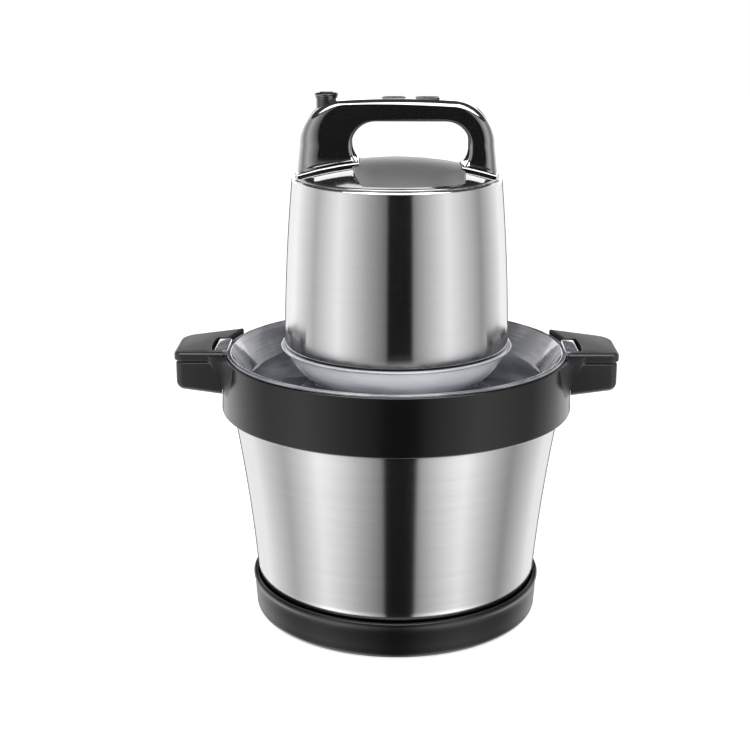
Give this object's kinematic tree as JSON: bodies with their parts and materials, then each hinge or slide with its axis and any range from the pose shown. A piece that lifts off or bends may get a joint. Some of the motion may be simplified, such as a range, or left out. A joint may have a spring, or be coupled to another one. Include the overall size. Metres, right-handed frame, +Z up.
{
  "type": "electric food chopper",
  "caption": "Free-standing food chopper: steel bowl with collar and side handles, dish lid, and a steel motor unit with an arched carrying handle.",
  "frame": {"origin": "on the resting surface, below the middle of the bowl", "axes": "+Z up, the front towards -Y, the side handles along X"},
  "size_m": [0.3, 0.2398, 0.36],
  "materials": {
    "brushed_steel": "fine circumferential brushing",
    "gloss_black": "high gloss",
    "satin_black": "satin, fine moulded grain",
    "smoke_lid": "translucent grey, clear gloss",
    "dome_grey": "satin grey",
    "black_rubber": "matt",
    "pale_silicone": "matt silicone",
    "blade_steel": "polished, ground edges",
    "screw_steel": "bright turned steel",
    "bearing_steel": "hardened, oiled",
    "cast_aluminium": "die cast",
    "laminations": "stacked sheets",
    "copper_wire": "enamelled wire",
    "commutator_copper": "turned copper",
    "holder_brass": "pressed sheet",
    "brush_carbon": "pressed carbon",
    "gear_nylon": "natural nylon",
    "switch_plastic": "matt"
  },
  "bodies": {
    "bowl": {"base_ring": "gloss_black", "rubber_feet": "black_rubber", "bowl": "brushed_steel", "bowl_collar": "gloss_black", "left_handle_grip": "satin_black", "right_handle_grip": "satin_black", "left_handle_plate": "satin_black", "right_handle_plate": "satin_black", "side_handle_screws": "screw_steel", "bowl_spindle": "screw_steel", "spindle_seal": "black_rubber", "spindle_nut": "screw_steel"},
    "lid": {"lid": "smoke_lid", "lid_gasket": "pale_silicone", "lid_bush": "pale_silicone"},
    "blade": {"blade_hub": "satin_black", "lower_blade": "blade_steel", "blade_spacer": "satin_black", "upper_blade": "blade_steel", "blade_nut": "screw_steel", "blade_socket": "satin_black"},
    "motor_unit": {"motor_base": "satin_black", "motor_sleeve": "brushed_steel", "top_cover": "gloss_black", "dome_plate": "dome_grey", "handle_front": "gloss_black", "handle_rear": "gloss_black", "handle_screws": "screw_steel", "cord_gland": "gloss_black", "gland_nut": "gloss_black", "gland_grommet": "black_rubber", "button_spring_low": "screw_steel", "button_spring_high": "screw_steel", "switch_block": "switch_plastic", "motor_plate": "cast_aluminium", "plate_screws": "screw_steel", "tie_rods": "screw_steel", "stator_core": "laminations", "stator_windings": "copper_wire", "carbon_brushes": "brush_carbon", "brush_holders": "holder_brass", "upper_bracket": "cast_aluminium", "motor_screws": "screw_steel", "ball_bearings": "bearing_steel", "ring_gear": "gear_nylon", "shaft_seal": "black_rubber"},
    "low_button": {"speed_button_low": "satin_black"},
    "high_button": {"speed_button_high": "satin_black"},
    "rotor": {"rotor_core": "laminations", "rotor_windings": "copper_wire", "commutator": "commutator_copper", "motor_shaft": "screw_steel", "cooling_fan": "gear_nylon", "sun_gear": "bearing_steel"},
    "output": {"planet_carrier": "bearing_steel", "output_shaft": "bearing_steel", "drive_coupling": "bearing_steel"},
    "planet_1": {"planet_gear_1": "gear_nylon"},
    "planet_2": {"planet_gear_2": "gear_nylon"},
    "planet_3": {"planet_gear_3": "gear_nylon"}
  },
  "joints": [
    {"name": "lid_lift", "type": "slide", "parent": "bowl", "child": "lid", "axis": [0, 0, 1], "range_m": [0, 0.12]},
    {"name": "motor_lift", "type": "slide", "parent": "lid", "child": "motor_unit", "axis": [0, 0, 1], "range_m": [0, 0.08]},
    {"name": "low_button_press", "type": "slide", "parent": "motor_unit", "child": "low_button", "axis": [0, 0, -1], "range_m": [0, 0.002], "stiffness_N_per_m": 600, "springref_m": -0.0015, "deforming": ["button_spring_low"]},
    {"name": "high_button_press", "type": "slide", "parent": "motor_unit", "child": "high_button", "axis": [0, 0, -1], "range_m": [0, 0.002], "stiffness_N_per_m": 600, "springref_m": -0.0015, "deforming": ["button_spring_high"]},
    {"name": "rotor_spin", "type": "hinge", "parent": "motor_unit", "child": "rotor", "pos_m": [0, 0, 0.24], "axis": [0, 0, 1], "continuous": true},
    {"name": "output_spin", "type": "hinge", "parent": "motor_unit", "child": "output", "pos_m": [0, 0, 0.17], "axis": [0, 0, 1], "continuous": true},
    {"name": "planet_1_spin", "type": "hinge", "parent": "output", "child": "planet_1", "pos_m": [0.015, 0, 0.186], "axis": [0, 0, 1], "continuous": true},
    {"name": "planet_2_spin", "type": "hinge", "parent": "output", "child": "planet_2", "pos_m": [-0.0075, 0.01299, 0.186], "axis": [0, 0, 1], "continuous": true},
    {"name": "planet_3_spin", "type": "hinge", "parent": "output", "child": "planet_3", "pos_m": [-0.0075, -0.01299, 0.186], "axis": [0, 0, 1], "continuous": true},
    {"name": "blade_spin", "type": "hinge", "parent": "bowl", "child": "blade", "pos_m": [0, 0, 0.09], "axis": [0, 0, 1], "continuous": true}
  ],
  "couplings": [
    {"joint": "output_spin", "follows": "rotor_spin", "ratio": 0.2},
    {"joint": "planet_1_spin", "follows": "rotor_spin", "ratio": -0.53333},
    {"joint": "planet_2_spin", "follows": "rotor_spin", "ratio": -0.53333},
    {"joint": "planet_3_spin", "follows": "rotor_spin", "ratio": -0.53333},
    {"joint": "blade_spin", "follows": "rotor_spin", "ratio": 0.2}
  ]
}
